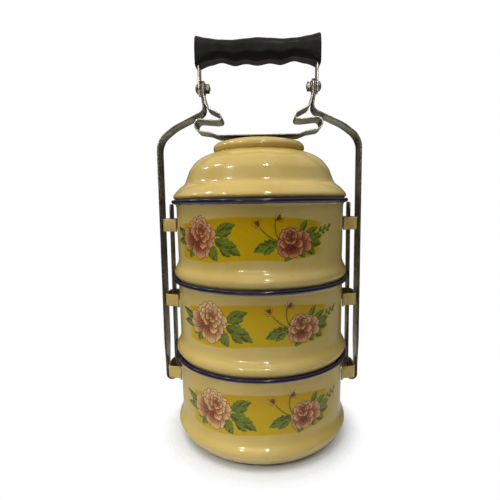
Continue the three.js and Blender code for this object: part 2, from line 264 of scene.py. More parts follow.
# ------------------------------------------------------------------ material helpers
class Nodes:
    def __init__(self, name):
        self.material = bpy.data.materials.new(name)
        self.material.use_nodes = True
        self.tree = self.material.node_tree
        self.tree.nodes.clear()
        self.out = self.add("ShaderNodeOutputMaterial")
        self.shader = self.add("ShaderNodeBsdfPrincipled")
        self.link(self.shader.outputs["BSDF"], self.out.inputs["Surface"])

    def add(self, kind, **values):
        node = self.tree.nodes.new(kind)
        for key, value in values.items():
            setattr(node, key, value)
        return node

    def link(self, a, b):
        self.tree.links.new(a, b)

    def put(self, socket, value):
        if isinstance(value, bpy.types.NodeSocket):
            self.link(value, socket)
        elif value is not None:
            socket.default_value = value

    def coords(self, offset=(0, 0, 0), scale=(1, 1, 1), source="Object"):
        mapping = self.add("ShaderNodeMapping")
        mapping.inputs["Location"].default_value = offset
        mapping.inputs["Scale"].default_value = scale
        if source == "Object":
            self.link(self.add("ShaderNodeTexCoord").outputs["Object"], mapping.inputs["Vector"])
        else:
            a = self.add("ShaderNodeAttribute", attribute_name=source)
            self.link(a.outputs["Vector"], mapping.inputs["Vector"])
        return mapping.outputs["Vector"]

    def noise(self, vector, scale, detail=2.0, roughness=0.5, distortion=0.0):
        n = self.add("ShaderNodeTexNoise")
        self.link(vector, n.inputs["Vector"])
        n.inputs["Scale"].default_value = scale
        n.inputs["Detail"].default_value = detail
        n.inputs["Roughness"].default_value = roughness
        n.inputs["Distortion"].default_value = distortion
        return n.outputs["Fac"]

    def ramp(self, value, low, high, to_low=0.0, to_high=1.0, smooth=True):
        m = self.add("ShaderNodeMapRange")
        m.interpolation_type = "SMOOTHSTEP" if smooth else "LINEAR"
        m.clamp = True
        self.link(value, m.inputs["Value"])
        for key, v in (("From Min", low), ("From Max", high), ("To Min", to_low), ("To Max", to_high)):
            m.inputs[key].default_value = v
        return m.outputs["Result"]

    def math(self, operation, a, b=None, c=None):
        m = self.add("ShaderNodeMath", operation=operation)
        for i, v in enumerate((a, b, c)):
            if v is not None:
                self.put(m.inputs[i], v)
        return m.outputs[0]

    def mix(self, factor, a, b, blend="MIX"):
        m = self.add("ShaderNodeMix", data_type="RGBA", blend_type=blend)
        self.put(m.inputs["Factor"], factor)
        self.put([s for s in m.inputs if s.name == "A" and s.type == "RGBA"][0], a)
        self.put([s for s in m.inputs if s.name == "B" and s.type == "RGBA"][0], b)
        return [s for s in m.outputs if s.type == "RGBA"][0]

    def bump(self, height, strength, distance, normal=None):
        b = self.add("ShaderNodeBump")
        b.inputs["Strength"].default_value = strength
        b.inputs["Distance"].default_value = distance
        self.link(height, b.inputs["Height"])
        if normal is not None:
            self.link(normal, b.inputs["Normal"])
        return b.outputs["Normal"]


def srgb(r, g, b, a=1.0):
    def f(c):
        c /= 255
        return c / 12.92 if c <= 0.04045 else ((c + 0.055) / 1.055) ** 2.4
    return (f(r), f(g), f(b), a)


CREAM = srgb(221, 197, 124)
CREAM_WARM = srgb(212, 185, 107)
CREAM_PALE = srgb(227, 207, 142)
NAVY = srgb(14, 12, 62)


def enamel(name, shift=(0, 0, 0), rim=False, printed=False):
    """Fired glass enamel: even cream with faint cloudiness, iron specks and orange peel, and a hand-dipped navy rim."""
    n = Nodes(name)
    at = n.coords(offset=shift)
    cloud = n.noise(at, 16, 3, 0.55)
    base = n.mix(n.ramp(cloud, 0.35, 0.7), CREAM, CREAM_WARM)
    pale = n.noise(at, 47, 4, 0.6)
    base = n.mix(n.ramp(pale, 0.5, 0.8, 0, 0.45), base, CREAM_PALE)
    colour = base
    if printed:
        paint = n.add("ShaderNodeAttribute", attribute_name="paint")
        # the transfer's ink is a little uneven
        uneven = n.ramp(n.noise(at, 420, 3, 0.7), 0.3, 0.7, 0.93, 1.0)
        colour = n.mix(n.math("MULTIPLY", paint.outputs["Alpha"], uneven), base, paint.outputs["Color"])
    specks = n.ramp(n.noise(at, 760, 1, 0.4), 0.775, 0.80, 0, 0.55)
    colour = n.mix(specks, colour, srgb(88, 62, 34))
    rough = n.ramp(n.noise(at, 30, 5, 0.65, 0.4), 0.3, 0.75, 0.10, 0.21)
    if rim:
        split = n.add("ShaderNodeSeparateXYZ")
        n.link(n.coords(), split.inputs["Vector"])
        z = split.outputs["Z"]
        wander = n.math("MULTIPLY_ADD", n.noise(at, 60, 3, 0.6), 0.0011, -0.00055)
        edge = n.math("ADD", z, wander)
        grime = n.math("MULTIPLY", n.ramp(edge, 0.0640, 0.0655), n.ramp(n.noise(at, 110, 4, 0.7), 0.35, 0.75, 0.12, 0.55))
        colour = n.mix(grime, colour, srgb(120, 92, 48))
        blue = n.ramp(edge, 0.0656, 0.06585)
        thin = n.ramp(n.noise(at, 260, 3, 0.6), 0.62, 0.78, 0, 0.4)
        navy = n.mix(thin, NAVY, srgb(30, 30, 100))
        colour = n.mix(blue, colour, navy)
        foot = n.math("MULTIPLY", n.ramp(z, 0.0014, 0.0002), n.ramp(n.noise(at, 150, 4, 0.7), 0.42, 0.6))
        colour = n.mix(foot, colour, srgb(58, 44, 33))
    n.link(colour, n.shader.inputs["Base Color"])
    n.link(rough, n.shader.inputs["Roughness"])
    n.shader.inputs["IOR"].default_value = 1.52
    n.shader.inputs["Specular IOR Level"].default_value = 0.28
    n.shader.inputs["Coat Weight"].default_value = 0.35
    n.shader.inputs["Coat Roughness"].default_value = 0.05
    peel = n.bump(n.noise(at, 95, 2, 0.5), 0.22, 0.0006)
    fine = n.bump(n.noise(at, 420, 3, 0.6), 0.10, 0.00025, peel)
    n.link(fine, n.shader.inputs["Normal"])
    return n.material


def lug_enamel(name, shift):
    """Enamel over a narrow bent strip: thinner at the edges, where the dark ground coat shows."""
    n = Nodes(name)
    at = n.coords(offset=shift)
    cloud = n.noise(at, 30, 3, 0.55)
    base = n.mix(n.ramp(cloud, 0.35, 0.7), CREAM, CREAM_WARM)
    strip = n.add("ShaderNodeSeparateXYZ")
    n.link(n.coords(source="strip"), strip.inputs["Vector"])
    edge = n.ramp(n.math("ADD", strip.outputs["Z"], n.math("MULTIPLY_ADD", n.noise(at, 240, 3, 0.7), 0.16, -0.08)), 0.93, 1.03, 0, 0.85)
    colour = n.mix(edge, base, srgb(74, 56, 32))
    # painted shade: the loop's inner face is darkened brown, standing in for the shadow inside the loop
    skin = n.add("ShaderNodeSeparateXYZ")
    n.link(n.coords(source="skin"), skin.inputs["Vector"])
    colour = n.mix(n.ramp(skin.outputs["X"], 0.3, -0.3, 0, 0.8), colour, srgb(104, 78, 40))
    n.link(colour, n.shader.inputs["Base Color"])
    n.link(n.ramp(n.noise(at, 60, 4, 0.6), 0.3, 0.75, 0.14, 0.30), n.shader.inputs["Roughness"])
    n.shader.inputs["IOR"].default_value = 1.52
    n.shader.inputs["Coat Weight"].default_value = 0.3
    n.shader.inputs["Coat Roughness"].default_value = 0.08
    n.link(n.bump(n.noise(at, 160, 3, 0.6), 0.3, 0.0005), n.shader.inputs["Normal"])
    return n.material


def steel(name, light, dark, rough_low, rough_high, shift=(0, 0, 0), grain=True, painted_reflection_below=None, edge_wear_and_shade=0.7):
    """Plated strip steel: drawn along its length, dulled by handling, brighter where the edges are rubbed; a negative
    edge setting paints shade along the edges instead, a dark tone for the dark reflections there.
    """
    n = Nodes(name)
    at = n.coords(offset=shift)
    stain = n.noise(at, 38, 5, 0.68, 0.6)
    colour = n.mix(n.ramp(stain, 0.38, 0.68), light, dark)
    fingers = n.noise(at, 120, 4, 0.6)
    colour = n.mix(n.ramp(fingers, 0.52, 0.75, 0, 0.5), colour, tuple(0.7 * c for c in dark[:3]) + (1,))
    rough = n.ramp(n.noise(at, 85, 5, 0.7), 0.3, 0.72, rough_low, rough_high)
    n.shader.inputs["Metallic"].default_value = 0.88
    bump = n.bump(n.noise(at, 55, 3, 0.5), 0.35, 0.0006)
    if grain:
        split = n.add("ShaderNodeSeparateXYZ")
        n.link(n.coords(source="strip"), split.inputs["Vector"])
        edge_wear_and_shade_mask = n.ramp(n.math("ADD", split.outputs["Z"], n.math("MULTIPLY_ADD", n.noise(at, 300, 2, 0.6), 0.08, -0.04)), 0.93, 1.0, 0, abs(edge_wear_and_shade))
        # a handled strap shines at its worn edges; with a negative setting the edges get painted shade instead, a
        # near-black tone for the dark reflections along them
        edge_tone = tuple(min(1, 1.35 * c) for c in light[:3]) if edge_wear_and_shade > 0 else tuple(0.22 * c for c in dark[:3])
        colour = n.mix(edge_wear_and_shade_mask, colour, edge_tone + (1,))
        lines = n.noise(n.coords(offset=shift, scale=(26, 2300, 0), source="strip"), 1.0, 4, 0.65)
        rough = n.math("ADD", rough, n.ramp(lines, 0.3, 0.7, -0.05, 0.07))
        bump = n.bump(lines, 0.16, 0.00012, bump)
    else:
        bump = n.bump(n.noise(at, 900, 3, 0.6), 0.2, 0.00012, bump)
    if painted_reflection_below:
        # painted reflection and shade: the part that presses on the lid is tinted brown and darker, for the dark room
        # and cream lid it mirrors
        height = n.add("ShaderNodeSeparateXYZ")
        n.link(n.coords(), height.inputs["Vector"])
        colour = n.mix(n.ramp(height.outputs["Z"], painted_reflection_below, painted_reflection_below + 0.0022, 0.72, 0.0), colour, srgb(92, 74, 42))
    n.link(colour, n.shader.inputs["Base Color"])
    n.link(rough, n.shader.inputs["Roughness"])
    n.link(bump, n.shader.inputs["Normal"])
    return n.material


def plastic(name):
    """Black moulded phenolic: fine sparked texture, softly polished by hands, with dust in the hollows."""
    n = Nodes(name)
    at = n.coords()
    colour = n.mix(n.ramp(n.noise(at, 45, 4, 0.6), 0.35, 0.75), srgb(5, 7, 7), srgb(12, 14, 14))
    colour = n.mix(n.ramp(n.noise(at, 900, 2, 0.5), 0.66, 0.78, 0, 0.18), colour, srgb(58, 58, 56))
    n.link(colour, n.shader.inputs["Base Color"])
    n.link(n.ramp(n.noise(at, 70, 5, 0.65), 0.3, 0.75, 0.32, 0.46), n.shader.inputs["Roughness"])
    n.shader.inputs["IOR"].default_value = 1.50
    n.shader.inputs["Specular IOR Level"].default_value = 0.17
    coarse = n.bump(n.noise(at, 240, 3, 0.6), 0.25, 0.0005)
    n.link(n.bump(n.noise(at, 1500, 3, 0.6), 0.22, 0.0002, coarse), n.shader.inputs["Normal"])
    return n.material


NICKEL, NICKEL_DARK = srgb(200, 201, 192), srgb(134, 132, 121)


# ------------------------------------------------------------------ bowls
bowl_profile = smooth_line([
    (0, 0), (56.5, 0), (59.2, 0.7), (61.6, 2.1), (64.2, 4.2), (66.5, 7), (68.7, 10),
    (69.9, 13), (68.8, 16), (67.1, 19), (66.2, 22.4),
    (66.7, 64.4), (67.6, 66.0), (69.0, 66.3), (70.35, 66.9), (70.5, 68.3), (69.9, 69.3),
    (68.5, 69.4), (67.4, 68.4), (66.3, 66.6), (65.7, 64.8), (65.2, 22), (67.5, 16.2),
    (68.7, 13), (65.6, 7.6), (60.9, 2.9), (56, 1), (0, 1)], reach=2.2, n=6)
lid_profile = smooth_line([
    (0, 239), (20, 237.2), (28, 235.7), (33.2, 233.9), (34.9, 231.4), (33.7, 228.4), (34.6, 226.9), (39.6, 225.6),
    (49.7, 219.9), (54.5, 213.8), (58.4, 203.8), (62.8, 199.8), (65.3, 197.2), (67.4, 194.0), (66.0, 191.6),
    (63.4, 185.5), (64.8, 185.5), (65.2, 187.6), (67.3, 191.6), (69.2, 193.5), (68.5, 195.4),
    (66.3, 198.0), (63.7, 200.7), (60.8, 202.6), (59.2, 204.6), (57.9, 208), (55.6, 214.4),
    (50.6, 220.9), (45.1, 224.6), (39.2, 227.0), (35.7, 227.8), (34.6, 228.7), (35.9, 229.4),
    (36.3, 231.4), (35.6, 233.6), (34.0, 235.1), (31.8, 235.9), (28, 236.9), (20, 238.3), (10, 239.6), (0, 240)],
    reach=2.6, n=6)

tiers = [("bottom", "bottom_tier", 0), ("middle", "middle_tier", 1), ("top", "top_tier", 2)]
bowl_verts, bowl_faces = lathe_data(bowl_profile, 192)
for tier, body, i in tiers:
    finish = enamel(f"enamel_{tier}", shift=(0.31 * i, 0.17 * i, 0.23 * i), rim=True)
    bowl = build(f"{tier}_bowl_enamelled", bowl_verts, bowl_faces, [finish], smooth=60)
    bowl.location.z = i * PITCH * MM
    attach(bowl, body)
    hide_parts(f"{tier}_bowl")

# ------------------------------------------------------------------ lugs
lug_half = [(65.62, 15.6), (66.35, 13.3), (67.2, 12.0), (68.8, 11.35), (72.5, 10.95), (75.3, 10.1), (77.0, 8.2), (77.35, 5.0)]
lug_line = smooth_line(lug_half + [(x, -y) for x, y in reversed(lug_half)], reach=1.6, n=5)
for tier, body, i in tiers:
    paint = lug_enamel(f"lug_enamel_{tier}", (0.2 * i, 0.1, 0.4 * i))
    for side, sign in (("left", -1), ("right", 1)):
        line = lug_line * sign
        widths = [5.0] * len(line)
        lug = sweep(f"{tier}_lug_{side}_enamelled", line, 1.5, widths, [paint], edge=0.62, cap=0.45, swap=True)
        lug.location.z = (i * PITCH + 49.5) * MM
        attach(lug, body)
        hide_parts(f"{tier}_lug_{side}")

# ------------------------------------------------------------------ lid
lid_verts, lid_faces = lathe_data(lid_profile, 192)
lid = build("lid_enamelled", lid_verts, lid_faces, [enamel("enamel_lid", shift=(0.7, 0.4, 0.9))], smooth=60)
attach(lid, "lid")
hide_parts("lid")


# ------------------------------------------------------------------ side arms
def lerp_table(x, table):
    return float(np.interp(x, [a for a, _ in table], [b for _, b in table]))


def ease_table(x, table):
    for (x0, a), (x1, b) in zip(table, table[1:]):
        if x <= x1:
            t = max(0.0, (x - x0) / (x1 - x0))
            return a + (b - a) * t * t * (3 - 2 * t)
    return table[-1][1]


def with_round_end(line, half, centre, radius, direction, steps=10):
    """Adds stations for a half-round end past centre. Returns the line and its half widths."""
    line = [tuple(p) for p in line]
    for k in range(1, steps + 1):
        a = math.radians(88.0 * k / steps)
        line.append((centre[0] + direction[0] * radius * math.sin(a), centre[1] + direction[1] * radius * math.sin(a)))
        half.append(radius * math.cos(a))
    return line, half


arm_corners = [(72.15, 188.6), (72.15, 41.2, 3.8), (79.75, 41.2, 3.8), (79.75, 238.6, 22), (66.6, 248.7, 30), (41.8, 260.6, 6), (44.35, 273.5, 6), (44.35, 279)]
arm_line = bend(arm_corners, chord=5, step=3)
outer_width = [(50, 5.5), (78, 8.5), (263, 8.5), (273, 6.0), (279, 6.0)]
arm_half = [5.5 if x < 75.5 and z < 235 else ease_table(z, outer_width) for x, z in arm_line]
# the inner leg's free end has clipped corners
arm_half[0], arm_half[1] = 4.6, 5.5
arm_line2, arm_half = with_round_end(arm_line, arm_half, (44.35, 279), 6.0, (0, 1))
# painted shade: the arms' edges are given a near-black tone for the dark reflections along them
arm_steel = steel("arm_nickel", NICKEL, NICKEL_DARK, 0.20, 0.42, edge_wear_and_shade=-0.8)
for side, sign in (("left", -1), ("right", 1)):
    line = [(x * sign, z) for x, z in arm_line2]
    arm = sweep(f"{side}_arm_nickelled", line, 1.5, arm_half, [arm_steel], edge=0.5, cap=0.3)
    cut(arm, rod(2.25, 40 * sign, 50 * sign))
    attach(arm, "bottom_tier")
    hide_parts(f"{side}_arm")

# ------------------------------------------------------------------ lid press
press_half = bend([(42.8, 279), (42.8, 273.5, 6), (39.8, 262.5, 5), (29.2, 257.2, 4), (28.2, 252.8, 2.2), (33.5, 252.4, 2), (49.4, 253.9, 4.4), (49.4, 245.2, 4.4), (38, 243.5, 3), (31.5, 240.9, 3), (0, 240.9)], chord=6, step=2.5)
press_width = [(261, 11.5), (273, 6.0), (279, 6.0)]
half_w = [ease_table(z, press_width) if z > 261 else 11.5 for x, z in press_half]
tip, tip_w = with_round_end(press_half[::-1], half_w[::-1], (42.8, 279), 6.0, (0, 1))
right = list(zip(tip, tip_w))
left = [((-p[0], p[1]), w) for p, w in right[1:]][::-1]
press_line, press_w = zip(*(left + right))
# the flat bar's brown tint below 241.5 mm is a painted reflection
press = sweep("lid_press_strip", press_line, 1.0, list(press_w), [steel("press_nickel", NICKEL, NICKEL_DARK, 0.22, 0.45, shift=(0.3, 0.1, 0), painted_reflection_below=0.2415)], edge=0.4, cap=0.2)
cut(press, rod(2.25, 40, 46))
cut(press, rod(2.25, -46, -40))
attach(press, "press")
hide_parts("lid_press")

# ------------------------------------------------------------------ bail
bail_core = bend([(46.15, 279), (46.15, 306, 4), (-46.15, 306, 4), (-46.15, 279)], chord=6, step=3)
ends = [(46.15, 279 - 6 * math.sin(math.radians(88.0 * k / 10))) for k in range(10, 0, -1)]
end_w = [6 * math.cos(math.radians(88.0 * k / 10)) for k in range(10, 0, -1)]
bail_line = ends + [tuple(p) for p in bail_core] + [(-x, z) for x, z in reversed(ends)]
bail_w = end_w + [6.0] * len(bail_core) + end_w[::-1]
bail = sweep("handle_bail_strip", bail_line, 1.5, bail_w, [steel("bail_nickel", NICKEL, NICKEL_DARK, 0.18, 0.38, shift=(0.1, 0.5, 0))], edge=0.5, cap=0.3)
cut(bail, rod(2.25, 44, 49), "MANIFOLD")
cut(bail, rod(2.25, -49, -44), "MANIFOLD")
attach(bail, "handle")
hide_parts("handle_bail")

# ------------------------------------------------------------------ pivot screws, washers and nuts
fastener = steel("fastener_steel", srgb(172, 169, 160), srgb(100, 95, 86), 0.22, 0.42, grain=False)
screw_profile = smooth_line([(0, 37.7), (1.5, 37.75), (1.9, 38.2), (1.9, 47.2), (4.0, 47.2), (4.05, 47.8), (3.5, 48.75), (2.0, 49.5), (0, 49.62)], reach=0.5, n=4)
washer_ring = [(2.25, 41.3), (2.35, 41.2), (4.05, 41.2), (4.2, 41.35), (4.2, 41.85), (4.05, 42.0), (2.35, 42.0), (2.25, 41.9)]


def ring_x(profile, segments=48):
    verts, faces = [], []
    for k in range(segments):
        a = 2 * math.pi * k / segments
        for r, x in profile:
            verts.append((x, r * math.cos(a), PIVOT_Z + r * math.sin(a)))
    m = len(profile)
    for k in range(segments):
        j = (k + 1) % segments
        for i in range(m):
            faces.append((k * m + i, k * m + (i + 1) % m, j * m + (i + 1) % m, j * m + i))
    return verts, faces


def hex_nut():
    """Hex nut with both faces chamfered to a circle, and a chamfered bore."""
    verts, faces = [], []
    seg = 48
    across = 3.9 * math.cos(math.pi / 6)
    rings = []
    for r_kind, x in (("bore", 38.8), ("mouth", 38.5), ("face", 38.5), ("hexlow", 38.5), ("hexhigh", 40.9), ("face", 40.9), ("mouth", 40.9), ("bore", 40.6)):
        ring = []
        for k in range(seg):
            a = 2 * math.pi * k / seg
            local = (a + math.pi / 6) % (math.pi / 3) - math.pi / 6
            hexr = across / math.cos(local)
            if r_kind == "bore":
                r, xx = 1.95, x
            elif r_kind == "mouth":
                r, xx = 2.25, x
            elif r_kind == "face":
                r, xx = across - 0.1, x
            else:
                drop = (hexr - across + 0.08) * math.tan(math.radians(30))
                r, xx = hexr, x + drop if r_kind == "hexlow" else x - drop
            ring.append(len(verts))
            verts.append((xx, r * math.cos(a), PIVOT_Z + r * math.sin(a)))
        rings.append(ring)
    for a, b in zip(rings, rings[1:] + rings[:1]):
        for k in range(seg):
            j = (k + 1) % seg
            faces.append((a[k], a[j], b[j], b[k]))
    return verts, faces


for side, sign in (("left", -1), ("right", 1)):
    for kind, (verts, faces) in (
        ("screw", (None, None)),
        ("washer", ring_x(washer_ring)),
        ("nut", hex_nut()),
    ):
        if kind == "screw":
            # the turned profile is laid over so its axis runs along X
            verts, faces = lathe_data(screw_profile, 48)
            verts = [(z, y, PIVOT_Z + x) for x, y, z in verts]
        pts = verts if sign > 0 else mirrored(verts)
        obj = build(f"pivot_{kind}_{side}_plated", pts, faces, [fastener], smooth=32)
        if kind == "screw":
            x0, x1 = (48.75, 50.5) if sign > 0 else (-50.5, -48.75)
            cut(obj, block(x0, x1, -0.5, 0.5, PIVOT_Z - 6, PIVOT_Z + 6))
        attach(obj, "bottom_tier")
        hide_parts(f"pivot_{kind}_{side}")

# ------------------------------------------------------------------ grip
GRIP = 48.6
top_line = [(0, 316.0), (10, 315.2), (20, 314.5), (30, 314.9), (40, 316.4), (48.6, 318.4)]
depth_line = [(0, 8.5), (20, 8.3), (30, 8.4), (40, 8.9), (48.6, 9.5)]
foot_line = [(0, 6.2), (30, 6.6), (40, 7.6), (48.6, 8.6)]


def soft(x, table):
    x = abs(x)
    for (x0, a), (x1, b) in zip(table, table[1:]):
        if x <= x1:
            t = (x - x0) / (x1 - x0)
            return a + (b - a) * (t * t * (3 - 2 * t) * 0.5 + t * 0.5)
    return table[-1][1]


def underside(x):
    a = abs(x)
    if a >= 38:
        t = (a - 38) / (GRIP - 38)
        return 298.2 - 4.4 * t * (0.5 + 0.5 * t)
    outer = a > 19
    wave = 0.5 - 0.5 * math.cos(2 * math.pi * x / 19)
    return (297.4 if outer else 297.0) + (2.1 if outer else 1.5) * wave + (0.8 * (a - 19) / 19 if outer else 0)


def grip_section(x, inset=0.0):
    table = np.array([(v, underside(v)) for v in np.linspace(x - 1.6, x + 1.6, 5)])
    low = float(table[:, 1].mean()) if abs(x) < 46 else underside(x)
    top, d, f = soft(x, top_line), soft(x, depth_line), soft(x, foot_line)
    h = top - low
    side = [(f - 0.9, low), (f + 0.1, low + 0.9), (d * 0.985, low + 0.30 * h), (d + 0.1, low + 0.5 * h), (d * 0.965, low + 0.70 * h), (d * 0.80, low + 0.88 * h), (d * 0.48, low + 0.985 * h), (0, top + 0.12)]
    ring = [(0, low)] + side + [(-y, z) for y, z in reversed(side[:-1])] + [(0, low)]
    ring = smooth_line(ring, reach=2.4, n=6)
    run = np.concatenate([[0], np.cumsum(np.linalg.norm(np.diff(ring, axis=0), axis=1))])
    at = np.linspace(0, run[-1], 113)[:-1]
    ring = np.stack([np.interp(at, run, ring[:, 0]), np.interp(at, run, ring[:, 1])], axis=1)
    if inset:
        c = np.array([0, (top + low) / 2])
        size = np.array([d, h / 2])
        ring = c + (ring - c) * (1 - inset / size)
    return ring


stations = [(-GRIP, 1.3), (-GRIP + 0.12, 0.75), (-GRIP + 0.42, 0.32), (-GRIP + 0.85, 0.08)]
stations += [(v, 0.0) for v in np.linspace(-GRIP + 1.4, GRIP - 1.4, 150)]
stations += [(-x, i) for x, i in reversed(stations[:4])]
verts, faces = [], []
for x, inset in stations:
    ring = grip_section(x, inset)
    size = len(ring)
    verts += [(x, y, z) for y, z in ring]
for i in range(len(stations) - 1):
    for k in range(size):
        j = (k + 1) % size
        faces.append((i * size + k, i * size + j, (i + 1) * size + j, (i + 1) * size + k))
faces.append(tuple(range(size)))
faces.append(tuple(range((len(stations) - 1) * size, len(stations) * size)))
grip = build("handle_grip_moulded", verts, faces, [plastic("black_phenolic")], smooth=40)
for sign in (-1, 1):
    x0, x1 = sorted((sign * 45.1, sign * 47.2))
    cut(grip, block(x0, x1, -6.3, 6.3, 290, 307))
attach(grip, "handle")
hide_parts("handle_grip")


# ------------------------------------------------------------------ fired transfers
# A peony spray on a yellow panel, drawn in millimetres on the unrolled wall:
# u runs round the wall from the front middle, v is the height above the bowl's base.
class Sheet:
    def __init__(self, u0, u1, v0, v1, step):
        self.u = np.arange(u0, u1 + step / 2, step)
        self.v = np.arange(v0, v1 + step / 2, step)
        self.U, self.V = np.meshgrid(self.u, self.v)
        self.rgb = np.zeros(self.U.shape + (3,))
        self.a = np.zeros(self.U.shape)
        self.step = step

    def near(self, points, pad):
        p = np.asarray(points)
        i0, i1 = np.searchsorted(self.v, [p[:, 1].min() - pad, p[:, 1].max() + pad])
        j0, j1 = np.searchsorted(self.u, [p[:, 0].min() - pad, p[:, 0].max() + pad])
        return slice(i0, i1), slice(j0, j1)

    def lay(self, where, cover, colour):
        cover = np.clip(cover, 0, 1)
        a = self.a[where]
        total = cover + a * (1 - cover)
        colour = np.broadcast_to(np.asarray(colour, float), cover.shape + (3,))
        mixed = colour * cover[..., None] + self.rgb[where] * (a * (1 - cover))[..., None]
        self.rgb[where] = mixed / np.maximum(total, 1e-6)[..., None]
        self.a[where] = total


def fade(x, low, high):
    t = np.clip((x - low) / (high - low), 0, 1)
    return t * t * (3 - 2 * t)


def inside(poly, U, V):
    """Signed distance to a closed outline, negative inside."""
    poly = np.asarray(poly, float)
    best = np.full(U.shape, 1e9)
    within = np.zeros(U.shape, bool)
    for (x0, y0), (x1, y1) in zip(poly, np.roll(poly, -1, axis=0)):
        ex, ey = x1 - x0, y1 - y0
        wx, wy = U - x0, V - y0
        t = np.clip((wx * ex + wy * ey) / max(ex * ex + ey * ey, 1e-12), 0, 1)
        best = np.minimum(best, (wx - ex * t) ** 2 + (wy - ey * t) ** 2)
        crosses = ((y0 <= V) & (V < y1)) | ((y1 <= V) & (V < y0))
        if abs(ey) > 1e-12:
            within ^= crosses & (U < x0 + (V - y0) * ex / ey)
    d = np.sqrt(best)
    return np.where(within, -d, d)


def to_line(points, U, V):
    best = np.full(U.shape, 1e9)
    for (x0, y0), (x1, y1) in zip(points, points[1:]):
        ex, ey = x1 - x0, y1 - y0
        t = np.clip(((U - x0) * ex + (V - y0) * ey) / max(ex * ex + ey * ey, 1e-12), 0, 1)
        best = np.minimum(best, (U - x0 - ex * t) ** 2 + (V - y0 - ey * t) ** 2)
    return np.sqrt(best)


def arc_through(a, b, sag, n=14):
    """A gentle curve from a to b, bowed sideways by sag."""
    a, b = np.array(a, float), np.array(b, float)
    side = np.array([-(b - a)[1], (b - a)[0]])
    side /= np.linalg.norm(side)
    c = (a + b) / 2 + side * sag * 2
    return [tuple((1 - t) ** 2 * a + 2 * t * (1 - t) * c + t * t * b) for t in np.linspace(0, 1, n)]


INK = dict(
    panel=(206, 172, 0), panel_warm=(206, 158, 0),
    leaf=(100, 122, 38), leaf_dark=(62, 84, 18), leaf_light=(142, 152, 66), fringe=(186, 186, 60),
    petal=(236, 204, 154), petal_mid=(192, 126, 80), petal_deep=(120, 50, 26), line=(86, 36, 15),
    stem=(96, 92, 26), stem_line=(70, 58, 14), bud=(142, 66, 30), bud_light=(200, 134, 88),
)


def hue(name, red=0.0):
    c = np.array(INK[name], float)
    if red and name in ("petal", "petal_mid", "petal_deep", "bud"):
        c = c + (np.array({"petal": (216, 150, 114), "petal_mid": (152, 62, 42), "petal_deep": (90, 20, 14), "bud": (104, 30, 16)}[name], float) - c) * red
    return c


def petal(sheet, base, angle, length, width, rng, red=0.0, ruffle=0.35, tone=0.0, curl=0.0, outline=0.2):
    """One petal: deep red-brown throat, fine streaks, pale rolled lip and a drawn outline."""
    a = math.radians(angle)
    ca, sa = math.cos(a), math.sin(a)
    phases = rng.uniform(0, 6.28, 3)
    pts = []
    for k in range(44):
        w = 2 * math.pi * k / 44
        x = 0.5 * length * (1 - math.cos(w))
        t = x / length
        y = 0.62 * width * math.sin(w) * (0.30 + 0.70 * t ** 0.75)
        wave = ruffle * t ** 1.6 * (math.sin(5 * w + phases[0]) + 0.6 * math.sin(8 * w + phases[1]) + 0.35 * math.sin(13 * w + phases[2]))
        x += wave
        y += 0.35 * wave * math.copysign(1, math.sin(w)) + curl * t * t * length
        pts.append((base[0] + x * ca - y * sa, base[1] + x * sa + y * ca))
    where = sheet.near(pts, 1.0)
    U, V = sheet.U[where], sheet.V[where]
    d = inside(pts, U, V)
    lx = ((U - base[0]) * ca + (V - base[1]) * sa) / length
    ly = (-(U - base[0]) * sa + (V - base[1]) * ca) / width - curl * np.clip(lx, 0, 1) ** 2 * length / width
    lip = fade(d, -1.5, -0.15)
    body = fade(lx, 0.18, 1.0)
    colour = hue("petal_deep", red) + (hue("petal_mid", red) - hue("petal_deep", red)) * fade(body, 0.0, 0.55)[..., None]
    colour = colour + (hue("petal", red) - colour) * np.clip(fade(body, 0.45, 1.0) * 0.92 + lip * 0.5, 0, 1)[..., None]
    streak = 0.5 + 0.5 * np.sin(ly / (np.clip(lx, 0.05, 1) + 0.35) * 34 + phases[0] + 2.0 * np.sin(lx * 5 + phases[1]))
    streak = fade(streak, 0.50, 0.92) * fade(lx, 1.0, 0.40) * 0.55
    colour = colour + (hue("petal_deep", red) - colour) * streak[..., None]
    side = fade(ly, 0.10, 0.55) * 0.30
    colour = colour + (hue("petal_mid", red) * 0.92 - colour) * side[..., None]
    colour = colour * (1 + tone)
    sheet.lay(where, fade(d, 0.10, -0.10), colour)
    edge = fade(np.abs(d + 0.10), outline * 1.35, outline * 0.45)
    sheet.lay(where, edge * fade(lx, -0.1, 0.2), hue("line", red))


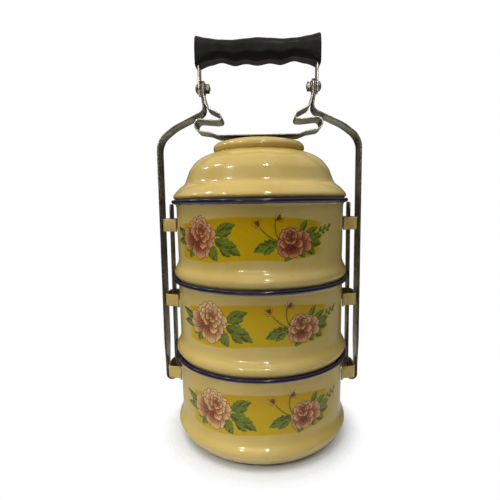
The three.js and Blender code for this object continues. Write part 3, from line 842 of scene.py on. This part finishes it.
def leaf(sheet, base, tip, width, rng, teeth=5, bow=0.0, split=0.0):
    """One toothed leaf: dark half, lighter half, pale midrib and side veins, and a yellow-green fringe."""
    base, tip = np.array(base, float), np.array(tip, float)
    length = float(np.linalg.norm(tip - base))
    ax = (tip - base) / length
    sx = np.array([-ax[1], ax[0]])
    ts = np.linspace(0, 1, 30)
    phase = rng.uniform(0, 1)

    def half(t, sgn):
        w = 0.5 * width * math.sin(math.pi * min(1, t) ** 0.82) ** 0.85
        saw = (t * teeth + phase * (0.5 if sgn > 0 else 1.0)) % 1.0
        return w * (0.80 + 0.38 * saw) + 0.05

    pts = []
    for sgn in (1, -1):
        run = ts if sgn > 0 else ts[::-1]
        for t in run:
            off = bow * 4 * t * (1 - t) * length
            pts.append(tuple(base + ax * t * length + sx * (sgn * half(float(t), sgn) + off)))
    where = sheet.near(pts, 1.0)
    U, V = sheet.U[where], sheet.V[where]
    d = inside(pts, U, V)
    lx = ((U - base[0]) * ax[0] + (V - base[1]) * ax[1]) / length
    ly = (U - base[0]) * sx[0] + (V - base[1]) * sx[1] - bow * 4 * np.clip(lx, 0, 1) * (1 - np.clip(lx, 0, 1)) * length
    colour = hue("leaf_dark") + (hue("leaf") - hue("leaf_dark")) * fade(ly, -0.4, 0.5)[..., None]
    blotch = 0.5 + 0.5 * np.sin(U * 1.3 + phase * 9) * np.sin(V * 1.1 + phase * 5)
    colour = colour + (hue("leaf_light") - colour) * (fade(blotch, 0.55, 1.0) * 0.45)[..., None]
    colour = colour + (hue("leaf_dark") - colour) * (fade(lx, 0.35, 0.0) * 0.55)[..., None]
    sheet.lay(where, fade(d, 0.48, 0.10) * 0.65, hue("fringe"))
    sheet.lay(where, fade(d, 0.10, -0.10), colour)
    rib = fade(np.abs(ly), 0.24, 0.08) * fade(lx, 1.0, 0.8) * fade(d, 0.0, -0.3)
    vein = np.abs(((lx - 0.32 * np.abs(ly) / max(width * 0.5, 1)) * (teeth + 1)) % 1.0 - 0.5) * length / (teeth + 1)
    veins = fade(vein, 0.20, 0.05) * fade(d, -0.15, -0.6) * 0.55
    sheet.lay(where, np.maximum(rib * 0.8, veins), hue("leaf_light") + 14)
    sheet.lay(where, fade(np.abs(d + 0.12), 0.16, 0.05) * 0.6, hue("leaf_dark") * 0.8)


def stroke(sheet, points, width, colour, line=None):
    where = sheet.near(points, width + 0.6)
    d = to_line(points, sheet.U[where], sheet.V[where])
    if line is not None:
        sheet.lay(where, fade(d, width / 2 + 0.22, width / 2) * 0.7, line)
    sheet.lay(where, fade(d, width / 2 + 0.06, width / 2 - 0.12), colour)


def bud(sheet, at, angle, size, rng, red=0.0):
    """A closed bud with a round calyx and thin curling sepals."""
    a = math.radians(angle)
    tip = (at[0] + math.cos(a) * size, at[1] + math.sin(a) * size)
    for spread, reach in ((52, 1.35), (-48, 1.30), (16, 1.75), (-20, 1.6), (95, 0.9)):
        b = math.radians(angle + spread)
        end = (at[0] + math.cos(b) * size * reach, at[1] + math.sin(b) * size * reach)
        stroke(sheet, arc_through(at, end, 0.22 * size * (1 if spread > 0 else -1), 7), 0.34, hue("bud", red) * 0.86)
    petal(sheet, at, angle + 12, size * 1.15, size * 0.62, rng, 0.8, ruffle=0.05, tone=-0.34, outline=0.18)
    petal(sheet, at, angle - 14, size * 1.05, size * 0.55, rng, 0.8, ruffle=0.05, tone=-0.40, outline=0.18)
    where = sheet.near([at, tip], 2)
    d = np.hypot(sheet.U[where] - at[0], sheet.V[where] - at[1])
    sheet.lay(where, fade(d, 0.95, 0.6), hue("bud", red))
    sheet.lay(where, fade(np.hypot(sheet.U[where] - at[0] + 0.2, sheet.V[where] - at[1] - 0.25), 0.42, 0.15) * 0.7, hue("bud_light", red))


def full_bloom(sheet, c, rng, red):
    """A full-blown peony seen three-quarter on: ruffled crown, hanging front petals and a furled heart."""
    x, y = c
    for ang, ln, wd in ((24, 13.0, 7.0), (150, 13.5, 7.6), (44, 14.0, 7.4), (128, 14.0, 7.6), (66, 14.2, 7.4), (108, 14.4, 7.6), (87, 15.0, 7.2)):
        petal(sheet, (x + 0.6, y + 0.4), ang, ln, wd, rng, red, ruffle=0.50, tone=0.02)
    for ang, ln, wd in ((206, 17.5, 9.0), (186, 18.3, 9.4), (168, 17.6, 8.6)):
        petal(sheet, (x - 0.2, y + 0.4), ang, ln, wd, rng, red, ruffle=0.38, tone=-0.02, curl=0.02)
    for ang, ln, wd in ((-8, 13.6, 8.2), (12, 14.6, 8.2), (-30, 13.0, 8.4)):
        petal(sheet, (x + 0.8, y + 0.8), ang, ln, wd, rng, red, ruffle=0.42, tone=-0.03)
    for ang, ln, wd in ((-112, 14.2, 9.4), (-62, 14.4, 9.6), (-88, 15.4, 10.4)):
        petal(sheet, (x + 1.0, y + 0.2), ang, ln, wd, rng, red, ruffle=0.45, tone=-0.02)
    petal(sheet, (x + 2.2, y + 1.6), -74, 9.6, 7.6, rng, red, ruffle=0.32, tone=0.03)
    for ang, ln, wd in ((158, 10.2, 7.4), (132, 10.4, 6.6), (28, 11.2, 7.0), (60, 10.8, 6.6), (96, 11.4, 6.8)):
        petal(sheet, (x + 1.0, y + 1.6), ang, ln, wd, rng, red, ruffle=0.34, tone=0.03)
    for ang, ln, wd in ((182, 8.6, 6.4), (215, 7.6, 6.2), (-18, 9.0, 6.6), (-48, 8.0, 6.2)):
        petal(sheet, (x + 1.6, y + 3.2), ang, ln, wd, rng, red, ruffle=0.26, tone=0.0)
    heart = (x + 2.6, y + 5.2)
    for ang, ln, wd in ((140, 5.6, 4.8), (50, 5.8, 4.8), (95, 6.2, 4.6), (200, 5.4, 4.6), (-20, 5.6, 4.6), (-80, 5.2, 5.0)):
        petal(sheet, heart, ang, ln, wd, rng, red, ruffle=0.16, tone=0.02, outline=0.17)
    for ang, ln, wd in ((120, 3.4, 3.0), (30, 3.3, 3.0), (250, 3.4, 3.2)):
        petal(sheet, (heart[0] + 0.2, heart[1] + 0.4), ang, ln, wd, rng, red, ruffle=0.08, tone=-0.05, outline=0.15)


def side_bloom(sheet, c, rng, red):
    """A half-open peony from the side: furled heart above spreading outer petals."""
    x, y = c
    red = min(1.0, red + 0.35)
    for ang, ln, wd in ((38, 12.6, 6.2), (140, 10.2, 6.4), (62, 11.4, 6.2), (116, 11.0, 6.4), (88, 11.2, 6.4)):
        petal(sheet, (x - 0.8, y - 0.4), ang, ln, wd, rng, red, ruffle=0.34, tone=-0.04)
    for ang, ln, wd in ((8, 16.2, 6.8), (-12, 16.6, 7.6), (22, 15.4, 6.0)):
        petal(sheet, (x - 0.4, y - 0.4), ang, ln, wd, rng, red, ruffle=0.34, tone=-0.02, curl=0.03)
    for ang, ln, wd in ((198, 10.2, 7.0), (224, 11.0, 7.2), (176, 10.0, 6.0)):
        petal(sheet, (x - 0.6, y - 0.4), ang, ln, wd, rng, red, ruffle=0.30, tone=-0.08)
    for ang, ln, wd in ((-42, 11.2, 8.0), (-112, 10.4, 8.2), (-76, 10.8, 8.8)):
        petal(sheet, (x - 0.4, y + 0.2), ang, ln, wd, rng, red, ruffle=0.32, tone=-0.04)
    for ang, ln, wd in ((150, 8.8, 6.0), (32, 9.4, 6.0), (-20, 9.6, 6.2), (206, 8.2, 6.0)):
        petal(sheet, (x - 0.6, y + 1.6), ang, ln, wd, rng, red, ruffle=0.22, tone=0.03)
    heart = (x - 1.0, y + 4.2)
    for ang, ln, wd in ((120, 5.6, 4.8), (60, 5.8, 4.8), (172, 5.0, 4.6), (8, 5.2, 4.4), (-58, 5.6, 5.2), (-120, 5.2, 5.0)):
        petal(sheet, heart, ang, ln, wd, rng, red, ruffle=0.14, tone=0.0, outline=0.17)
    for ang, ln, wd in ((100, 3.2, 2.8), (-10, 3.0, 2.8), (220, 3.1, 2.9)):
        petal(sheet, (heart[0], heart[1] + 0.4), ang, ln, wd, rng, red, ruffle=0.06, tone=-0.08, outline=0.15)


def transfer(seed, red=0.0, shift=(0.0, 0.0), step=0.24):
    rng = np.random.default_rng(seed)
    du, dv = shift
    s = Sheet(-70 + du, 70 + du, 23.4, 61.6, step)
    at = lambda u, v: (u + du, v + dv)
    # panel
    outline = [at(*p) for p in ((-60, 28.0), (-50, 25.8), (-40, 25.0), (-28.6, 25.1), (-17, 25.7), (-6, 26.9), (8.7, 27.3), (26, 26.7), (40, 27.8), (51, 29.4), (62, 32.5),
                                (62, 50.4), (55, 52.2), (46.4, 53.6), (36, 54.9), (24.6, 55.8), (9, 56.3), (-5.6, 56.3), (-21, 55.5), (-33, 53.8), (-44, 52.2), (-53, 51.2), (-60, 50.0))]
    where = s.near(outline, 2)
    U, V = s.U[where], s.V[where]
    d = inside(outline, U, V)
    grain = 0.5 + 0.5 * np.sin(U * 3.1 + 1.7 * np.sin(V * 2.3)) * np.sin(V * 3.7 + 1.3 * np.sin(U * 1.9))
    ends = fade(U - du, -61.5, -51.0) * fade(U - du, 62.5, 46.0)
    cover = fade(d, 0.55, -0.45) * np.clip(ends * 1.25 - 0.25 * grain * (1 - ends), 0, 1)
    tint = hue("panel") + (hue("panel_warm") - hue("panel")) * (fade(V - dv, 44, 56) * 0.8)[..., None]
    tint = tint * (0.985 + 0.03 * grain)[..., None]
    s.lay(where, cover, tint)
    # spray round the full bloom
    for b, t, w, n, bow in (
        ((-50.0, 43.5), (-66.5, 48.2), 5.2, 4, 0.03), ((-48.0, 38.0), (-64.8, 38.4), 5.6, 4, -0.03), ((-50.5, 41.0), (-60.0, 43.0), 4.0, 3, 0.0),
        ((-41.0, 38.5), (-46.8, 27.4), 8.4, 4, 0.05), ((-42.5, 36.0), (-51.4, 31.5), 5.0, 3, 0.0),
        ((-21.5, 44.0), (-6.2, 51.4), 7.6, 5, 0.06), ((-20.0, 45.8), (-10.8, 52.6), 4.6, 3, 0.04), ((-19.0, 44.0), (-9.0, 46.6), 4.4, 3, -0.04),
        ((-22.0, 41.0), (-2.8, 30.4), 9.4, 6, 0.04), ((-15.5, 36.8), (-5.2, 36.6), 4.6, 3, 0.06), ((-17.8, 35.8), (-9.8, 29.6), 4.6, 3, -0.06),
        ((-26.0, 37.5), (-20.2, 26.2), 8.0, 5, -0.04), ((-25.8, 35.0), (-25.0, 28.0), 4.2, 3, 0.0),
    ):
        leaf(s, at(*b), at(*t), w, rng, n, bow)
    full_bloom(s, at(-36.0, 42.0), rng, red)
    # stems and buds of the side bloom
    stroke(s, arc_through(at(10.6, 48.9), at(22.4, 40.0), -1.1), 0.62, hue("stem"), hue("stem_line"))
    stroke(s, arc_through(at(20.9, 53.9), at(22.6, 41.6), -1.3), 0.62, hue("stem"), hue("stem_line"))
    bud(s, at(9.3, 50.6), 122, 3.3, rng, red)
    bud(s, at(21.4, 54.3), 34, 3.5, rng, red)
    for b, t, w, n, bow in (
        ((23.0, 38.8), (5.8, 33.0), 7.8, 5, -0.04), ((17.0, 36.6), (8.8, 38.0), 3.8, 3, 0.05), ((20.0, 36.2), (12.6, 31.0), 4.4, 3, -0.04),
        ((38.6, 46.0), (43.4, 53.6), 4.6, 4, 0.03), ((42.0, 43.5), (52.6, 48.6), 4.6, 4, 0.03),
        ((45.0, 41.5), (57.0, 43.0), 5.4, 4, -0.03), ((45.0, 38.5), (56.2, 37.0), 6.6, 4, 0.03), ((43.0, 36.0), (50.4, 30.2), 6.2, 4, -0.03),
        ((38.0, 34.5), (42.0, 28.2), 6.0, 4, 0.0), ((32.5, 33.5), (26.6, 26.4), 5.4, 4, 0.05),
    ):
        leaf(s, at(*b), at(*t), w, rng, n, bow)
    stroke(s, arc_through(at(50.0, 43.5), at(64.5, 48.0), 0.4), 0.5, hue("stem"), hue("stem_line"))
    for b, t in (((54.5, 45.2), (56.2, 48.9)), ((56.5, 45.8), (60.6, 44.2)), ((59.0, 46.4), (60.8, 50.0)), ((61.5, 47.1), (65.2, 45.6)), ((63.5, 47.8), (67.0, 50.2))):
        leaf(s, at(*b), at(*t), 2.6, rng, 3, 0.0)
    side_bloom(s, at(31.8, 38.6), rng, red)
    return s


def lay_on_wall(sheet, name, material, body, z0, turn=0.0, lift=0.035):
    """Wraps the printed part of the sheet round the bowl wall as its own thin skin."""
    nv, nu = sheet.a.shape
    held = sheet.a > 0.004
    grown = held.copy()
    for _ in range(2):
        g = grown.copy()
        g[1:] |= grown[:-1]; g[:-1] |= grown[1:]
        g[:, 1:] |= grown[:, :-1]; g[:, :-1] |= grown[:, 1:]
        grown = g
    cells = grown[:-1, :-1] & grown[1:, :-1] & grown[:-1, 1:] & grown[1:, 1:]
    used = np.zeros((nv, nu), bool)
    used[:-1, :-1] |= cells; used[1:, :-1] |= cells; used[:-1, 1:] |= cells; used[1:, 1:] |= cells
    index = np.full((nv, nu), -1, np.int64)
    index[used] = np.arange(used.sum())
    U, V = sheet.U[used], sheet.V[used]
    R = WALL_LOW[0] + (WALL_HIGH[0] - WALL_LOW[0]) * (V - WALL_LOW[1]) / (WALL_HIGH[1] - WALL_LOW[1]) + lift
    ang = U / 66.5 + turn
    co = np.stack([R * np.sin(ang), -R * np.cos(ang), V], axis=1) * MM
    i, j = np.nonzero(cells)
    quads = np.stack([index[i, j], index[i, j + 1], index[i + 1, j + 1], index[i + 1, j]], axis=1)
    mesh = bpy.data.meshes.new(name)
    mesh.vertices.add(len(co))
    mesh.vertices.foreach_set("co", co.ravel())
    mesh.loops.add(quads.size)
    mesh.loops.foreach_set("vertex_index", quads.ravel().astype(np.int32))
    mesh.polygons.add(len(quads))
    mesh.polygons.foreach_set("loop_start", (np.arange(len(quads)) * 4).astype(np.int32))
    mesh.polygons.foreach_set("use_smooth", np.ones(len(quads), bool))
    mesh.update(calc_edges=True)
    c = sheet.rgb[used] / 255
    c = np.where(c <= 0.04045, c / 12.92, ((np.maximum(c, 0) + 0.055) / 1.055) ** 2.4)
    layer = mesh.color_attributes.new("paint", "FLOAT_COLOR", "POINT")
    layer.data.foreach_set("color", np.concatenate([np.clip(c, 0, 1), sheet.a[used][:, None]], axis=1).astype(np.float32).ravel())
    mesh.materials.append(material)
    obj = bpy.data.objects.new(name, mesh)
    bpy.context.scene.collection.objects.link(obj)
    obj.location.z = z0 * MM
    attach(obj, body)
    return obj

for (tier, body, i), seed, red, shift in zip(tiers, (11, 12, 13), (0.10, 0.0, 0.55), ((0.0, 0.0), (-2.0, 2.5), (-9.5, 0.8))):
    sheet_data = transfer(seed, red, shift)
    for face, turn in (("front", 0.0), ("back", math.pi)):
        lay_on_wall(sheet_data, f"{tier}_print_{face}", enamel(f"print_{tier}_{face}", shift=(0.31 * i, 0.17 * i, 0.23 * i), printed=True), body, i * PITCH, turn)


# ------------------------------------------------------------------ stage
def floor_finish(name, fade_from, fade_to):
    """Pale matt board that fades out into the white surround."""
    n = Nodes(name)
    at = n.coords()
    n.link(n.mix(n.ramp(n.noise(at, 3, 3, 0.6), 0.3, 0.7), srgb(226, 232, 243), srgb(221, 227, 239)), n.shader.inputs["Base Color"])
    n.shader.inputs["Roughness"].default_value = 0.7
    n.shader.inputs["Specular IOR Level"].default_value = 0.1
    split = n.add("ShaderNodeSeparateXYZ")
    n.link(at, split.inputs["Vector"])
    r2 = n.math("MULTIPLY_ADD", split.outputs["X"], split.outputs["X"], n.math("MULTIPLY", split.outputs["Y"], split.outputs["Y"]))
    n.link(n.ramp(n.math("SQRT", r2), fade_from, fade_to, 1.0, 0.0), n.shader.inputs["Alpha"])
    return n.material


def floor_disc(name, radius, z, finish, rings=24, segments=96):
    verts, faces = [(0, 0, z)], []
    for i in range(1, rings + 1):
        for k in range(segments):
            a = 2 * math.pi * k / segments
            verts.append((radius * i / rings * math.cos(a), radius * i / rings * math.sin(a), z))
    for k in range(segments):
        j = (k + 1) % segments
        faces.append((0, 1 + k, 1 + j))
        for i in range(rings - 1):
            a, b = 1 + i * segments, 1 + (i + 1) * segments
            faces.append((a + k, b + k, b + j, a + j))
    return build(name, verts, faces, [finish], smooth=0)


# the board close to the foot, and the rest of it that only throws light back up
floor_disc("studio_floor", 230, 0, floor_finish("pale_floor", 0.057, 0.088))
bounce = floor_disc("studio_bounce", 520, -1, floor_finish("pale_bounce", 0.40, 0.52))
bounce.visible_camera = False
bounce.visible_glossy = False
bounce.visible_shadow = False

world = bpy.data.worlds.new("studio")
bpy.context.scene.world = world
world.use_nodes = True
tree = world.node_tree
tree.nodes.clear()


def world_node(kind, **values):
    node = tree.nodes.new(kind)
    for key, value in values.items():
        node.inputs[key].default_value = value
    return node


out = world_node("ShaderNodeOutputWorld")
seen = world_node("ShaderNodeBackground", Color=(1, 1, 1, 1), Strength=1.0)
glow = world_node("ShaderNodeBackground", Color=(1.0, 0.92, 0.76, 1))
pick = world_node("ShaderNodeMixShader")
path = world_node("ShaderNodeLightPath")
# the room is brighter overhead than round the walls, and shows most in the polished metal
split = world_node("ShaderNodeSeparateXYZ")
tree.links.new(world_node("ShaderNodeTexCoord").outputs["Generated"], split.inputs["Vector"])
fill = world_node("ShaderNodeMapRange", **{"From Min": -0.1, "From Max": 0.9, "To Min": 0.05, "To Max": 0.17})
sheen = world_node("ShaderNodeMapRange", **{"From Min": 0.12, "From Max": 0.80, "To Min": 0.03, "To Max": 0.90})
choose = world_node("ShaderNodeMix")
tree.links.new(split.outputs["Z"], fill.inputs["Value"])
tilt = world_node("ShaderNodeMath")
tilt.operation = "ABSOLUTE"
tree.links.new(split.outputs["Z"], tilt.inputs[0])
tree.links.new(tilt.outputs[0], sheen.inputs["Value"])
tree.links.new(path.outputs["Is Glossy Ray"], choose.inputs[0])
tree.links.new(fill.outputs["Result"], choose.inputs[2])
tree.links.new(sheen.outputs["Result"], choose.inputs[3])
tree.links.new(choose.outputs[0], glow.inputs["Strength"])
tree.links.new(path.outputs["Is Camera Ray"], pick.inputs[0])
tree.links.new(glow.outputs[0], pick.inputs[1])
tree.links.new(seen.outputs[0], pick.inputs[2])
tree.links.new(pick.outputs[0], out.inputs["Surface"])


def area(name, place, target, size, power, colour=(1, 0.93, 0.80), size_y=None):
    data = bpy.data.lights.new(name, "AREA")
    data.energy = power
    data.color = colour
    data.size = size
    if size_y:
        data.shape = "RECTANGLE"
        data.size_y = size_y
    obj = bpy.data.objects.new(name, data)
    obj.location = place
    obj.rotation_mode = "QUATERNION"
    obj.rotation_quaternion = (Vector(target) - Vector(place)).to_track_quat("-Z", "Y")
    bpy.context.scene.collection.objects.link(obj)
    return obj


top = area("top_softbox", (-0.30, -0.25, 1.45), (0, 0, 0.15), 0.75, 13.8)
top.visible_glossy = False
left = area("left_softbox", (-0.88, -0.58, 0.95), (0, 0, 0.13), 0.5, 3.0, (1, 0.94, 0.82))
left.visible_glossy = False
right = area("right_fill", (0.75, -0.35, 1.15), (0, 0, 0.13), 0.6, 2.2, (0.95, 1.0, 0.93))
right.visible_glossy = False

# a narrow lamp picks out the lowest bowl
lamp = bpy.data.lights.new("low_spot", "SPOT")
lamp.energy = 10
lamp.color = (1, 0.95, 0.86)
lamp.spot_size = math.radians(12)
lamp.spot_blend = 1.0
lamp.shadow_soft_size = 0.08
low_spot = bpy.data.objects.new("low_spot", lamp)
low_spot.location = (-0.40, -0.80, 0.75)
low_spot.rotation_mode = "QUATERNION"
low_spot.rotation_quaternion = (Vector((-0.015, -0.05, 0.008)) - low_spot.location).to_track_quat("-Z", "Y")
low_spot.visible_glossy = False
bpy.context.scene.collection.objects.link(low_spot)


def spark(name, aim, power, size=0.03, far=1.3):
    """A small ceiling lamp that only shows as a point of light in the glaze."""
    lamp = area(name, tuple(far * c + o for c, o in zip(aim, (0, 0, 0.21))), (0, 0, 0.21), size, power, (1, 0.97, 0.90))
    lamp.visible_diffuse = False
    return lamp


# a long low panel of light draws a soft streak along each bulge
streak = area("low_panel", (-0.27, -1.35, 0.54), (0, 0, 0.10), 0.95, 1.5, (1, 0.97, 0.88), size_y=0.26)
streak.visible_diffuse = False
for k, (aim_at, watts, wide) in enumerate((
    ((-0.576, -0.398, 0.714), 2.2, 0.12), ((0.152, -0.521, 0.840), 2.4, 0.13), ((-0.669, 0.044, 0.742), 1.6, 0.11), ((-0.808, 0.211, 0.550), 1.2, 0.10),
    ((-0.403, -0.903, 0.175), 0.8, 0.08), ((0.125, -0.963, 0.245), 0.8, 0.08), ((0.153, -0.855, 0.496), 1.2, 0.09),
)):
    spark(f"room_lamp_{k + 1}", aim_at, watts, wide)

# ------------------------------------------------------------------ camera
YAW, PITCH_DOWN, ROLL = math.radians(-1.92), math.radians(6.56), math.radians(-0.8)
fwd = Vector((math.sin(YAW) * math.cos(PITCH_DOWN), math.cos(YAW) * math.cos(PITCH_DOWN), -math.sin(PITCH_DOWN)))
level = Vector((math.cos(YAW), -math.sin(YAW), 0))
up = level.cross(fwd)
cam_x = math.cos(ROLL) * level + math.sin(ROLL) * up
cam_y = -math.sin(ROLL) * level + math.cos(ROLL) * up
camera_data = bpy.data.cameras.new("camera")
camera_data.lens = 28.8
camera_data.sensor_width = 36
camera = bpy.data.objects.new("camera", camera_data)
matrix = Matrix((
    (cam_x.x, cam_y.x, -fwd.x, 0.0029),
    (cam_x.y, cam_y.y, -fwd.y, -0.3288),
    (cam_x.z, cam_y.z, -fwd.z, 0.1878),
    (0, 0, 0, 1)))
camera.matrix_world = matrix
bpy.context.scene.collection.objects.link(camera)
bpy.context.scene.camera = camera

view = bpy.context.scene.view_settings
view.view_transform = "Standard"
view.look = "None"
view.exposure = 0.0
view.gamma = 1.0
